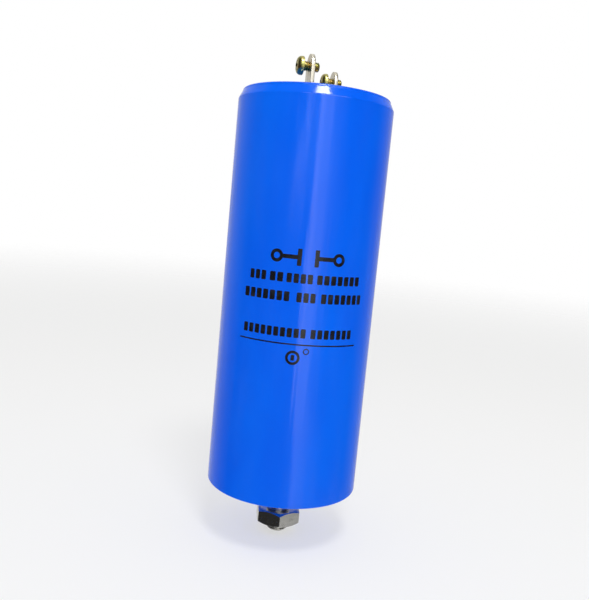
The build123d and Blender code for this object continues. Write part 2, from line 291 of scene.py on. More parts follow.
def bright_nickel(colours):
    """Steel, turned and nickel plated: bright and cool, with fine turned lines round it."""
    material, tree = new_tree("nickel_plated_steel")
    blotch = grain(tree, 2.0, detail=4.0)
    dull = tuple(c * 0.72 for c in colours.nickel)
    colour = add_node(
        tree, "ShaderNodeMix",
        {
            0: add_node(
                tree, "ShaderNodeMapRange", {"Value": blotch, "From Min": 0.45, "From Max": 0.75},
                0, interpolation_type="SMOOTHSTEP",
            ),
            6: rgba(colours.nickel), 7: rgba(dull),
        },
        2, data_type="RGBA",
    )
    # Turned lines are 0.05 mm apart on the real part, and are drawn 0.3 mm apart to show
    lines = grain(tree, 0.3, (12, 12, 1), detail=2.0, seed=2.0)
    roughness = add_node(
        tree, "ShaderNodeMapRange",
        {"Value": blotch, "From Min": 0.3, "From Max": 0.7, "To Min": 0.16, "To Max": 0.3}, 0,
        interpolation_type="SMOOTHSTEP",
    )
    close_tree(tree, colour, roughness, lines, 0.006, Metallic=1.0)
    return material


def tinned_brass(colours):
    """Brass, stamped from rolled strip and tin plated: warm white, satin, faintly streaked."""
    material, tree = new_tree("tin_plated_brass")
    streak = grain(tree, 0.5, (1, 1, 9), detail=3.0)
    cloud = grain(tree, 3.5, detail=3.0, seed=4.0)
    brassy = tuple(c * k for c, k in zip(colours.tin, (0.92, 0.82, 0.6)))
    colour = add_node(
        tree, "ShaderNodeMix",
        {
            0: add_node(
                tree, "ShaderNodeMapRange", {"Value": cloud, "From Min": 0.45, "From Max": 0.8}, 0,
                interpolation_type="SMOOTHSTEP",
            ),
            6: rgba(colours.tin), 7: rgba(brassy),
        },
        2, data_type="RGBA",
    )
    roughness = add_node(
        tree, "ShaderNodeMapRange",
        {"Value": streak, "From Min": 0.3, "From Max": 0.7, "To Min": 0.24, "To Max": 0.4}, 0,
        interpolation_type="SMOOTHSTEP",
    )
    close_tree(tree, colour, roughness, streak, 0.008, Metallic=1.0)
    return material


def yellow_zinc(colours):
    """Steel, zinc plated and yellow passivated: pale gold that drifts to green and rose."""
    material, tree = new_tree("yellow_passivated_zinc")
    drift = grain(tree, 1.6, detail=2.0)
    other = grain(tree, 1.1, detail=2.0, seed=7.0)
    greenish = add_node(
        tree, "ShaderNodeMix",
        {
            0: add_node(
                tree, "ShaderNodeMapRange", {"Value": drift, "From Min": 0.4, "From Max": 0.7}, 0,
                interpolation_type="SMOOTHSTEP",
            ),
            6: rgba(colours.zinc_yellow), 7: rgba(linear("#9FA65C")),
        },
        2, data_type="RGBA",
    )
    colour = add_node(
        tree, "ShaderNodeMix",
        {
            0: add_node(
                tree, "ShaderNodeMapRange", {"Value": other, "From Min": 0.5, "From Max": 0.75}, 0,
                interpolation_type="SMOOTHSTEP",
            ),
            6: rgba(greenish), 7: rgba(linear("#C79F68")),
        },
        2, data_type="RGBA",
    )
    close_tree(
        tree, colour,
        add_node(
            tree, "ShaderNodeMapRange",
            {"Value": drift, "From Min": 0.3, "From Max": 0.7, "To Min": 0.2, "To Max": 0.34}, 0,
            interpolation_type="SMOOTHSTEP",
        ),
        other, 0.01, Metallic=1.0,
    )
    return material


def metallised_film():
    """Polypropylene film, metallised and wound: silvery, with fine rings at its ends."""
    material, tree = new_tree("metallised_polypropylene_film")
    # The turns are 0.01 mm thick; the rings are drawn 0.4 mm apart to show
    place = add_node(tree, "ShaderNodeTexCoord").outputs["Object"]
    parts = add_node(tree, "ShaderNodeSeparateXYZ", {0: place})
    squares = [
        add_node(tree, "ShaderNodeMath", {0: parts.outputs[i], 1: 2.0}, 0, operation="POWER")
        for i in (0, 1)
    ]
    radius = add_node(
        tree, "ShaderNodeMath",
        {0: add_node(tree, "ShaderNodeMath", dict(enumerate(squares)), 0, operation="ADD")}, 0,
        operation="SQRT",
    )
    rings = add_node(
        tree, "ShaderNodeMath",
        {
            0: add_node(
                tree, "ShaderNodeMath", {0: radius, 1: 2 * math.pi / (0.4 * MM)}, 0,
                operation="MULTIPLY",
            ),
        },
        0, operation="SINE",
    )
    colour = add_node(
        tree, "ShaderNodeMix",
        {
            0: add_node(
                tree, "ShaderNodeMapRange", {"Value": rings, "From Min": -1.0, "From Max": 1.0}, 0,
                interpolation_type="SMOOTHSTEP",
            ),
            6: rgba(linear("#A9ADB4")), 7: rgba(linear("#C9CCD1")),
        },
        2, data_type="RGBA",
    )
    roughness = add_node(
        tree, "ShaderNodeMapRange",
        {
            "Value": grain(tree, 4.0), "From Min": 0.3, "From Max": 0.7, "To Min": 0.25,
            "To Max": 0.4,
        },
        0, interpolation_type="SMOOTHSTEP",
    )
    close_tree(tree, colour, roughness, rings, 0.01, Metallic=0.85)
    return material


# The finishes inside the case: name, two colours, grain size in mm, roughness range,
# relief in mm, stretch of the grain, and other sockets
INNER_FINISHES = {
    # Pressboard, calendered: dull brown with short fibres
    "pad_board": (
        "calendered_pressboard", "#8A6A46", "#A5845A", 0.8, (0.7, 0.9), 0.03, (3, 1, 1), {},
    ),
    # Polypropylene, extruded: milky and half matt, with lines along the tube
    "core_plastic": (
        "extruded_polypropylene", "#D9DBD6", "#E9EAE6", 1.5, (0.35, 0.5), 0.02, (1, 1, 12), {},
    ),
    # Zinc, flame sprayed: a coarse grey crust of flattened drops
    "sprayed_zinc": (
        "flame_sprayed_zinc", "#8B8D8F", "#B4B6B8", 0.5, (0.5, 0.75), 0.12, (1, 1, 1),
        {"Metallic": 0.8},
    ),
    # Polyester tape, wound: yellow and glossy, with a slight ripple
    "wrap_tape": (
        "wound_polyester_tape", "#D8B13A", "#E6C457", 3.0, (0.2, 0.32), 0.03, (1, 1, 5), {},
    ),
    # Copper wire, drawn and tinned: bright grey with lines along its length
    "lead_wire": (
        "tinned_copper_wire", "#B9B7B0", "#D2D0C9", 0.3, (0.25, 0.4), 0.01, (1, 1, 10),
        {"Metallic": 1.0},
    ),
    # PVC, extruded: black and softly glossy
    "sleeve_pvc": (
        "extruded_pvc_sleeve", "#1B1B1E", "#26262A", 0.8, (0.4, 0.52), 0.02, (1, 1, 6), {},
    ),
    # Solder, run by hand: bright with slightly frosted patches
    "solder": (
        "hand_run_solder", "#B8B8B4", "#D4D4D0", 0.7, (0.18, 0.42), 0.04, (1, 1, 1),
        {"Metallic": 1.0},
    ),
    # Polyurethane resin, poured: dark amber with a smooth, level skin
    "resin": (
        "poured_polyurethane", "#4A3320", "#5F4429", 5.0, (0.12, 0.22), 0.03, (1, 1, 1),
        {"Coat_Weight": 0.3},
    ),
}

FINISHES = {
    "blue_case": moulded_polypropylene,
    "ink": printed_ink,
    "plated_steel": bright_nickel,
    "tinned_brass": tinned_brass,
    "yellow_zinc": yellow_zinc,
}
made_finishes = {}


def finish(slot):
    """The finish for one of the record's slots, made once."""
    if slot not in made_finishes:
        if slot in INNER_FINISHES:
            *values, sockets = INNER_FINISHES[slot]
            made_finishes[slot] = simple_finish(*values, **sockets)
        elif slot == "metallised_film":
            made_finishes[slot] = metallised_film()
        else:
            made_finishes[slot] = FINISHES[slot](bpy.context.scene.capacitor_colours)
    return made_finishes[slot]


# ---------------------------------------------------------------- mesh tools


def rounded(points, steps=6):
    """An outline with its corners rounded, from (r, z, round) points. It is closed."""
    outline = []
    count = len(points)
    for i, (r, z, size) in enumerate(points):
        corner = Vector((r, z))
        if size == 0:
            outline.append(corner)
            continue
        back = (Vector(points[i - 1][:2]) - corner).normalized()
        ahead = (Vector(points[(i + 1) % count][:2]) - corner).normalized()
        half = back.angle(ahead) / 2
        centre = corner + (back + ahead).normalized() * (size / math.sin(half))
        start = corner + back * (size / math.tan(half)) - centre
        end = corner + ahead * (size / math.tan(half)) - centre
        swing = start.angle_signed(end)
        for k in range(steps + 1):
            outline.append(centre + Matrix.Rotation(-swing * k / steps, 2) @ start)
    return [(p.x, p.y) for p in outline]


def ring_mesh(rings, closed):
    """A mesh of faces between rings of points. A closed one joins its last ring to its
    first, and another gets a lid at each end."""
    bm = bmesh.new()
    rows = [[bm.verts.new(p) for p in ring] for ring in rings]
    count = len(rows[0])
    pairs = list(zip(rows, rows[1:] + rows[:1])) if closed else list(zip(rows, rows[1:]))
    for low, high in pairs:
        for i in range(count):
            j = (i + 1) % count
            bm.faces.new((low[i], low[j], high[j], high[i]))
    if not closed:
        bm.faces.new(reversed(rows[0]))
        bm.faces.new(rows[-1])
    bmesh.ops.recalc_face_normals(bm, faces=bm.faces)
    return bm


def lathe(outline, columns):
    """A ring turned about the Z axis from a closed outline of (radius, height) points."""
    angles = [2 * math.pi * i / columns for i in range(columns)]
    rings = [[(r * math.cos(a), r * math.sin(a), z) for a in angles] for r, z in outline]
    return ring_mesh(rings, closed=True)


def spindle(outline, columns):
    """A solid turned about the Z axis from a line of (radius, height) points off the axis."""
    angles = [2 * math.pi * i / columns for i in range(columns)]
    rings = [[(r * math.cos(a), r * math.sin(a), z) for a in angles] for r, z in outline]
    return ring_mesh(rings, closed=False)


def move(bm, matrix):
    """Move a mesh and give it back."""
    bmesh.ops.transform(bm, matrix=matrix, verts=bm.verts)
    return bm


def to_object(bm, name):
    """An object from a mesh in millimetres."""
    move(bm, Matrix.Scale(MM, 4))
    mesh = bpy.data.meshes.new(name)
    bm.to_mesh(mesh)
    bm.free()
    obj = bpy.data.objects.new(name, mesh)
    bpy.context.scene.collection.objects.link(obj)
    return obj


def cut(bm, *tools):
    """A mesh in millimetres with other meshes cut out of it."""
    body = to_object(bm, "blank")
    cutters = [to_object(tool, "cutter") for tool in tools]
    for cutter in cutters:
        change = body.modifiers.new("cut", "BOOLEAN")
        change.operation, change.solver, change.object = "DIFFERENCE", "EXACT", cutter
    bpy.context.view_layer.update()
    cleared = body.evaluated_get(bpy.context.evaluated_depsgraph_get())
    result = bmesh.new()
    result.from_mesh(cleared.to_mesh())
    for obj in (body, *cutters):
        bpy.data.meshes.remove(obj.data)
    if not result.faces:
        raise RuntimeError("a cut left nothing")
    return move(result, Matrix.Scale(1 / MM, 4))


def add_piece(bm, name, body, slot, *nodes, sharp=32.0, finish_name=None):
    """A visible piece from a mesh in millimetres, on its body and in place of CAD nodes."""
    obj = to_object(bm, name)
    obj.data.shade_smooth()
    obj.data.set_sharp_from_angle(angle=math.radians(sharp))
    even = obj.modifiers.new("even_shading", "WEIGHTED_NORMAL")
    even.keep_sharp = True
    obj.data.materials.append(finish(finish_name or slot))
    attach(obj, body)
    if nodes:
        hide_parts(*nodes)
    return obj


def hexagon_radius(angle, across_flats, corner_round=0.0):
    """The distance from the middle of a hexagon to its side, with its corners rounded. A
    corner points along angle 0."""
    half = across_flats / 2
    off = (angle + math.pi / 6) % (math.pi / 3) - math.pi / 6
    straight = half / math.cos(math.pi / 6 - abs(off))
    if corner_round == 0:
        return straight
    middle = (half - corner_round) / math.cos(math.pi / 6)
    reach = middle * math.cos(off) + math.sqrt(
        max(0.0, corner_round**2 - (middle * math.sin(off)) ** 2)
    )
    touch = math.atan2(corner_round / 2, middle + corner_round * math.cos(math.pi / 6))
    return reach if abs(off) < touch else straight


def polar_ring(columns, radius, height):
    """One ring of points whose radius and height are worked out from the angle."""
    ring = []
    for i in range(columns):
        a = 2 * math.pi * i / columns
        r = radius(a)
        ring.append((r * math.cos(a), r * math.sin(a), height(a, r)))
    return ring


# A nut's or bolt head's flat face, as a share of its width over the flats; the angle in
# degrees at which its corners are turned off; and the small break at the face's edge
HEX_FACE_SHARE, HEX_CORNER_ANGLE, HEX_EDGE_BREAK = 0.95, 30, 0.12


def hexagon_rings(across_flats, bottom, top, columns, corner_round):
    """Rings over the outside of a nut or bolt head whose corners are turned off at 30
    degrees: from the bottom face, up the flats, to the top face."""
    face = HEX_FACE_SHARE * across_flats / 2
    slope = math.tan(math.radians(HEX_CORNER_ANGLE))

    def side(a):
        return hexagon_radius(a, across_flats, corner_round)

    def flush(z):
        return lambda a, r: z

    rings = [polar_ring(columns, lambda a: face - HEX_EDGE_BREAK, flush(bottom))]
    for share in (0.0, 0.25, 0.5, 0.75, 1.0):
        rings.append(
            polar_ring(
                columns,
                lambda a, s=share: face + (side(a) - face) * s,
                lambda a, r: bottom + max(0.0, r - face) * slope,
            )
        )
    rings.append(polar_ring(columns, side, flush((bottom + top) / 2)))
    for share in (1.0, 0.75, 0.5, 0.25, 0.0):
        rings.append(
            polar_ring(
                columns,
                lambda a, s=share: face + (side(a) - face) * s,
                lambda a, r: top - max(0.0, r - face) * slope,
            )
        )
    rings.append(polar_ring(columns, lambda a: face - HEX_EDGE_BREAK, flush(top)))
    return rings


# How deep a thread is cut, as a share of its pitch
THREAD_DEPTH_SHARE = 0.6


def thread_rings(crest, pitch, top, bottom, columns, steps, fade):
    """Rings down a screw thread, from top to bottom, that starts and ends gently."""
    depth = THREAD_DEPTH_SHARE * pitch
    count = int((top - bottom) / pitch * steps)
    rings = []
    for k in range(count + 1):
        z = top + (bottom - top) * k / count
        ease = min(1.0, (top - z) / fade, (z - bottom) / fade + 0.35)
        ring = []
        for i in range(columns):
            a = 2 * math.pi * i / columns
            turn = (z / pitch - i / columns) % 1.0
            wave = min(1.0, max(0.0, abs(2 * turn - 1) * 1.3 - 0.16))
            r = crest - depth * wave * max(0.0, ease)
            ring.append((r * math.cos(a), r * math.sin(a), z))
        rings.append(ring)
    return rings


# ---------------------------------------------------------------- the pieces


class CAPACITOR_OT_case(bpy.types.Operator):
    """Build the moulded case"""

    bl_idname = "capacitor.case"
    bl_label = "Case"
    bl_options = {"REGISTER", "UNDO"}

    def execute(self, context):
        sizes = context.scene.capacitor_sizes
        columns = sizes.wall_columns
        wall = sizes.wall_radius / MM
        foot = sizes.foot_round / MM
        stud_hole, boss, bore, floor, boss_top = 4.5, 11.9, 23.0, 3.0, 8.3
        pocket = 13.2
        profile = [
            (bore, floor, 0.3), (bore, CASE_TOP_MM, 0.05), (wall, CASE_TOP_MM, 0.03),
            (wall, 0.0, foot), (stud_hole, 0.0, 0.2), (stud_hole, floor, 0.0),
        ]
        rings = []
        for r, z in rounded(profile, steps=5):
            rings.append(polar_ring(columns, lambda a, r=r: r, lambda a, q, z=z: z))
        inside = [(pocket, floor), (pocket, boss_top)]
        for across, z in inside:
            rings.append(
                polar_ring(
                    columns, lambda a, w=across: hexagon_radius(a, w), lambda a, q, z=z: z
                )
            )
        for r, z in ((boss, boss_top), (boss, floor)):
            rings.append(polar_ring(columns, lambda a, r=r: r, lambda a, q, z=z: z))
        add_piece(ring_mesh(rings, closed=True), "moulded_case", "capacitor", "blue_case", "case")
        return {"FINISHED"}


# The rivets' holes in the lid: how far they stand from the axis along Y, how far they are
# moved along X, and their radius
RIVET_REACH, RIVET_SHIFT, RIVET_HOLE = 10.3, 1.2, 2.05


def close_axis(bm, reach):
    """Replace the thin bore that a lathe leaves on the axis with flat ends."""
    inner = [v for v in bm.verts if math.hypot(v.co.x, v.co.y) < reach]
    faces = [f for f in bm.faces if all(v in inner for v in f.verts)]
    levels = {}
    for v in inner:
        levels.setdefault(round(v.co.z, 4), []).append(v)
    bmesh.ops.delete(bm, geom=faces, context="FACES_ONLY")
    for ring in levels.values():
        ring.sort(key=lambda v: math.atan2(v.co.y, v.co.x))
        bm.faces.new(ring)
    bmesh.ops.recalc_face_normals(bm, faces=bm.faces)


class CAPACITOR_OT_lid(bpy.types.Operator):
    """Build the bevelled lid, with its skirt and the rivet holes"""

    bl_idname = "capacitor.lid"
    bl_label = "Lid"
    bl_options = {"REGISTER", "UNDO"}

    def execute(self, context):
        sizes = context.scene.capacitor_sizes
        wall = sizes.wall_radius / MM
        rim, bevel_top, top_radius = CASE_TOP_MM, CASE_TOP_MM + 2.6, 23.785
        skirt_outer, skirt_inner, skirt_bottom = 22.9, 21.1, CASE_TOP_MM - 5.0
        profile = [
            (0.6, LID_TOP_MM, 0), (top_radius, LID_TOP_MM, sizes.lid_edge_round / MM),
            (top_radius, bevel_top, 0.12),
            (wall, rim + 0.2, sizes.crease_round / MM), (wall, rim, 0.03),
            (skirt_outer, rim, 0), (skirt_outer, skirt_bottom, 0.4),
            (skirt_inner, skirt_bottom, 0.4), (skirt_inner, rim, 0.3), (0.6, rim, 0),
        ]
        outline = rounded(profile)
        blank = lathe(outline, sizes.wall_columns)
        # The lathe leaves a thin hole on the axis, which closes here
        close_axis(blank, 0.7)
        tools = []
        for y in (-RIVET_REACH, RIVET_REACH):
            hole = spindle([(RIVET_HOLE, rim - 1), (RIVET_HOLE, LID_TOP_MM + 1)], 48)
            tools.append(move(hole, Matrix.Translation((RIVET_SHIFT, y, 0))))
        add_piece(cut(blank, *tools), "bevelled_lid", "capacitor", "blue_case", "lid")
        return {"FINISHED"}


# The printed rows: middle height, mark height, and the marks' start and end in degrees
# from the front of the studio. Each row is a run of plain blocks.
ROWS = (
    (71.3, 2.8, ((-36.8, -24.0), (-21.0, -11.5), (-9.0, 9.0), (12.0, 46.0))),
    (65.7, 2.9, ((-40.1, -6.0), (-1.0, 12.0), (16.0, 49.9))),
    (54.9, 2.8, ((-38.6, 7.5), (11.0, 43.3))),
)
BLOCK_PITCH = 4.7
BLOCK_GAP = 1.25
INK_RADIUS = 25.0
INK_SINK = 0.04


def wall_point(turn, z, radius=INK_RADIUS):
    """A point on the wall, from an angle in degrees from the studio's front and a height."""
    a = math.radians(turn + FRONT_TURN)
    return (radius * math.sin(a), -radius * math.cos(a), z)


def add_band(bm, rails, closed=False):
    """A thin closed patch of ink between pairs of (angle, height) points on the wall."""
    rows = []
    for low, high in rails:
        rows.append(
            [
                bm.verts.new(wall_point(*p, radius=r))
                for p, r in (
                    (low, INK_RADIUS - INK_SINK), (low, INK_RADIUS),
                    (high, INK_RADIUS), (high, INK_RADIUS - INK_SINK),
                )
            ]
        )
    pairs = list(zip(rows, rows[1:] + rows[:1])) if closed else list(zip(rows, rows[1:]))
    for left, right in pairs:
        for i in range(4):
            j = (i + 1) % 4
            bm.faces.new((left[i], right[i], right[j], left[j]))
    if not closed:
        bm.faces.new(rows[0])
        bm.faces.new(reversed(rows[-1]))


def add_block(bm, start, end, middle, height, corner=0.3):
    """A block of ink with rounded corners, from one angle to another."""
    per_degree = INK_RADIUS * math.pi / 180
    width = (end - start) * per_degree
    corner = min(corner, width / 2, height / 2)
    inner = [corner * k / 4 for k in range(5)]
    count = max(1, int((width - 2 * corner) / 0.4))
    along = inner[:-1] + [
        corner + (width - 2 * corner) * k / count for k in range(count + 1)
    ] + [width - d for d in reversed(inner[:-1])]
    rails = []
    for s in along:
        edge = min(s, width - s)
        lack = 0.0 if edge >= corner else corner - math.sqrt(
            max(0.0, corner**2 - (corner - edge) ** 2)
        )
        half = max(0.02, height / 2 - lack)
        turn = start + s / per_degree
        rails.append(((turn, middle - half), (turn, middle + half)))
    add_band(bm, rails)


def add_ring(bm, turn, middle, outer, inner, points=40):
    """A ring of ink."""
    per_degree = INK_RADIUS * math.pi / 180
    rails = []
    for k in range(points):
        a = 2 * math.pi * k / points
        x, y = math.cos(a) / per_degree, math.sin(a)
        rails.append(
            (
                (turn + inner * x, middle + inner * y),
                (turn + outer * x, middle + outer * y),
            )
        )
    add_band(bm, rails, closed=True)


class CAPACITOR_OT_print(bpy.types.Operator):
    """Print plain marks on the wall: the sign for a capacitor, rows of blocks and a rule"""

    bl_idname = "capacitor.print_marks"
    bl_label = "Printed marks"
    bl_options = {"REGISTER", "UNDO"}

    def execute(self, context):
        bm = bmesh.new()
        # The sign for a capacitor: two plates between leads that end in rings
        middle = 77.55
        for start, end, height in (
            (-13.6, -2.2, 1.25), (-2.9, 0.1, 5.1), (9.1, 12.1, 5.1), (11.4, 22.8, 1.25),
        ):
            add_block(bm, start, end, middle, height, corner=0.25)
        for turn in (-17.3, 26.5):
            add_ring(bm, turn, middle, 1.95, 0.95)
        for height, tall, groups in ROWS:
            for start, end in groups:
                count = max(1, round((end - start) / BLOCK_PITCH))
                pitch = (end - start + BLOCK_GAP) / count
                for k in range(count):
                    left = start + pitch * k
                    add_block(bm, left, left + pitch - BLOCK_GAP, height, tall)
        add_block(bm, -41.6, 48.2, 51.45, 0.42, corner=0.1)
        add_ring(bm, 0.0, 47.4, 2.2, 1.4)
        add_block(bm, -1.2, 1.2, 47.4, 1.7, corner=0.2)
        add_ring(bm, 9.0, 49.5, 0.95, 0.62, points=28)
        bmesh.ops.recalc_face_normals(bm, faces=bm.faces)
        add_piece(bm, "printed_marks", "capacitor", None, finish_name="ink")
        return {"FINISHED"}


class CAPACITOR_OT_stud(bpy.types.Operator):
    """Build the threaded stud with its head and shoulder"""

    bl_idname = "capacitor.stud"
    bl_label = "Mounting stud"
    bl_options = {"REGISTER", "UNDO"}

    def execute(self, context):
        sizes = context.scene.capacitor_sizes
        columns = 96
        pitch = sizes.stud_pitch / MM
        tip = STUD_LOW.z / MM
        head_top, head_bottom = STUD_HIGH.z / MM, 3.0
        across = sizes.head_across_flats / MM

        def plain(r, z):
            return polar_ring(columns, lambda a: r, lambda a, q: z)

        rings = list(
            reversed(hexagon_rings(across, head_bottom, head_top, columns, corner_round=0.3))
        )
        rings += [plain(4.4, head_bottom), plain(4.4, 0.0), plain(4.35, -0.02)]
        rings += [plain(4.0, -0.02), plain(4.0, -1.85), plain(3.9, -2.0)]
        thread = thread_rings(3.96, pitch, -2.0, tip + 0.35, columns, 18, fade=pitch)
        # The tip is turned off at 45 degrees over the end of the thread
        for ring in thread:
            z = ring[0][2]
            limit = 2.9 + max(0.0, z - (tip + 0.35))
            rings.append(
                [
                    (x * k, y * k, z)
                    for x, y, _ in ring
                    for k in (min(1.0, limit / math.hypot(x, y)),)
                ]
            )
        rings += [plain(2.78, tip + 0.2), plain(2.5, tip + 0.07), plain(1.9, tip + 0.01)]
        rings += [plain(0.6, tip)]
        add_piece(
            ring_mesh(rings, closed=False), "threaded_stud", "capacitor",
            "plated_steel", "mounting_stud",
        )
        return {"FINISHED"}


class CAPACITOR_OT_nut(bpy.types.Operator):
    """Build the hexagon nut"""

    bl_idname = "capacitor.nut"
    bl_label = "Mounting nut"
    bl_options = {"REGISTER", "UNDO"}

    def execute(self, context):
        sizes = context.scene.capacitor_sizes
        columns = 144
        turn = Matrix.Rotation(math.radians(-96.4), 4, "Z")
        bottom, top = NUT_LOW.z / MM, NUT_HIGH.z / MM
        across = sizes.nut_across_flats / MM
        rings = hexagon_rings(across, bottom, top, columns, corner_round=0.5)

        def plain(r, z):
            return polar_ring(columns, lambda a: r, lambda a, q: z)

        bore, mouth, sink = 4.03, 4.5, 0.4
        rings += [plain(mouth, top), plain(bore, top - sink)]
        # Grooves of the nut's own thread, cut outwards from the bore
        grooves = thread_rings(bore, 1.25, top - sink, bottom + sink, columns, 14, fade=0.3)
        for ring in grooves[1:-1]:
            out = []
            for x, y, z in ring:
                r = math.hypot(x, y)
                k = (2 * bore - r) / r
                out.append((x * k, y * k, z))
            rings.append(out)
        rings += [plain(bore, bottom + sink), plain(mouth, bottom)]
        bm = move(ring_mesh(rings, closed=True), turn)
        add_piece(bm, "hexagon_nut", "mounting_nut", "plated_steel", "mounting_nut")
        return {"FINISHED"}


def terminal_mesh(bevel):
    """One terminal: a round-ended strip with two holes, bent up at a right angle. The rivet
    hole is on the Z axis and the tab stands towards -X."""
    thick, half = 1.25, 3.75
    bend_start, mid_radius, bend_centre_z = 4.975, 1.425, 2.05
    bend_end = bend_start + mid_radius * math.pi / 2
    screw_at = bend_end + 6.75 - bend_centre_z
    outline = []
    for k in range(33):
        a = math.pi / 2 + math.pi * k / 32
        outline.append((half * math.cos(a), half * math.sin(a)))
    for k in range(33):
        a = -math.pi / 2 + math.pi * k / 32
        outline.append((screw_at + half * math.cos(a), half * math.sin(a)))
    rings = []
    for inset, h in (
        (bevel, 0.0), (bevel * 0.3, bevel * 0.3), (0.0, bevel),
        (0.0, thick - bevel), (bevel * 0.3, thick - bevel * 0.3), (bevel, thick),
    ):
        scale_y = (half - inset) / half
        ring = []
        for u, w in outline:
            middle = 0.0 if u < screw_at / 2 else screw_at
            ring.append((middle + (u - middle) * scale_y, w * scale_y, h))
        rings.append(ring)
    strip = ring_mesh(rings, closed=False)
    tools = []
    for u, r in ((0.0, 2.05), (screw_at, 1.55)):
        flare = 0.12
        line = [
            (r + flare + 0.3, -0.3), (r, flare), (r, thick - flare), (r + flare + 0.3, thick + 0.3)
        ]
        tools.append(move(spindle(line, 64), Matrix.Translation((u, 0, 0))))
    strip = cut(strip, *tools)
    for k in range(13):
        at = bend_start + (bend_end - bend_start) * k / 12
        bmesh.ops.bisect_plane(
            strip, geom=strip.verts[:] + strip.edges[:] + strip.faces[:],
            plane_co=(at, 0, 0), plane_no=(1, 0, 0), dist=0.0005,
        )
    for v in strip.verts:
        u, w, h = v.co
        if u <= bend_start:
            v.co = (-u, w, h)
        elif u <= bend_end:
            a = (u - bend_start) / mid_radius
            rho = bend_centre_z - h
            v.co = (-bend_start - rho * math.sin(a), w, bend_centre_z - rho * math.cos(a))
        else:
            v.co = (-bend_start - bend_centre_z + h, w, bend_centre_z + u - bend_end)
    bmesh.ops.recalc_face_normals(strip, faces=strip.faces)
    return strip


ENDS = (("front", -10.3, 0.0), ("rear", 10.3, 180.0))


class CAPACITOR_OT_terminals(bpy.types.Operator):
    """Build the two bent terminals"""

    bl_idname = "capacitor.terminals"
    bl_label = "Terminals"
    bl_options = {"REGISTER", "UNDO"}

    def execute(self, context):
        sizes = context.scene.capacitor_sizes
        for name, y, turn in ENDS:
            place = Matrix.Translation((1.2, y, LID_TOP_MM)) @ Matrix.Rotation(
                math.radians(turn), 4, "Z"
            )
            bm = move(terminal_mesh(sizes.tab_bevel / MM), place)
            add_piece(
                bm, f"{name}_bent_terminal", "capacitor", "tinned_brass",
                f"{name}_terminal", sharp=40.0,
            )
        return {"FINISHED"}


class CAPACITOR_OT_rivets(bpy.types.Operator):
    """Build the two tubular rivets"""

    bl_idname = "capacitor.rivets"
    bl_label = "Rivets"
    bl_options = {"REGISTER", "UNDO"}

    def execute(self, context):
        bore, shank, head, roll = 1.3, 2.0, 3.3, 3.0
        foot_top = LID_TOP_MM + 1.25
        head_top = foot_top + 0.7
        lug_bottom = CASE_TOP_MM - 0.8
        roll_bottom = lug_bottom - 0.6
        profile = [
            (bore, head_top, 0.35), (head, head_top, 0.45), (head, foot_top, 0.1),
            (shank, foot_top, 0), (shank, lug_bottom, 0), (roll, lug_bottom, 0.1),
            (roll, roll_bottom, 0.38), (bore, roll_bottom, 0.3),
        ]
        for name, y, _ in ENDS:
            bm = move(lathe(rounded(profile), 64), Matrix.Translation((1.2, y, 0)))
            add_piece(
                bm, f"{name}_tubular_rivet", "capacitor", "tinned_brass", f"{name}_rivet"
            )
        return {"FINISHED"}


class CAPACITOR_OT_screws(bpy.types.Operator):
    """Build the two terminal screws"""

    bl_idname = "capacitor.screws"
    bl_label = "Terminal screws"
    bl_options = {"REGISTER", "UNDO"}

    def execute(self, context):
        sizes = context.scene.capacitor_sizes
        columns = 72
        pitch = sizes.screw_pitch / MM
        head_radius, head_height, length = 2.8, 2.0, 5.0
        # The seat stops just short, so that a tightened head only just meets its tab
        seat_gap = -0.015

        def plain(r, z):
            return polar_ring(columns, lambda a: r, lambda a, q: z)

        dome = []
        for k in range(9):
            a = math.radians(90 * k / 8)
            dome.append((1.45 + 1.35 * math.sin(a), -0.62 - 1.38 * math.cos(a)))
        for name, y, turn in ENDS:
            rings = [plain(0.3, -head_height), plain(0.9, -head_height)]
            rings += [plain(r, z) for r, z in dome]
            rings += [plain(head_radius, -0.13), plain(head_radius - 0.1, seat_gap)]
            rings += [plain(1.5, seat_gap), plain(1.5, 0.3)]
            thread = thread_rings(1.49, pitch, length - 0.1, 0.4, columns, 12, fade=pitch)
            for ring in reversed(thread):
                z = ring[0][2]
                limit = 1.15 + max(0.0, length - 0.1 - z)
                rings.append(
                    [
                        (x * k, y0 * k, z)
                        for x, y0, _ in ring
                        for k in (min(1.0, limit / math.hypot(x, y0)),)
                    ]
                )
            rings += [plain(1.0, length), plain(0.3, length)]
            arms = []
            for quarter in (0, 90):
                rows = []
                for z, reach, wide in ((-2.4, 1.6, 0.46), (-0.95, 1.2, 0.36)):
                    rows.append(
                        [
                            (reach, wide, z), (-reach, wide, z), (-reach, -wide, z),
                            (reach, -wide, z),
                        ],
                    )
                arm = ring_mesh(rows, closed=False)
                arms.append(move(arm, Matrix.Rotation(math.radians(quarter), 4, "Z")))
            bm = cut(ring_mesh(rings, closed=False), *arms)
            side = 1 if turn else -1
            seat = 1.2 + side * 6.4 - 0.625 - 1.8
            lean = Matrix.Rotation(math.radians(28 if turn else 14), 4, "Z")
            place = Matrix.Translation((seat, y, LID_TOP_MM + 6.75)) @ Matrix.Rotation(
                math.radians(90), 4, "Y"
            )
            add_piece(
                move(bm, place @ lean), f"{name}_pan_head_screw", f"{name}_screw",
                "yellow_zinc", f"{name}_terminal_screw",
            )
        return {"FINISHED"}


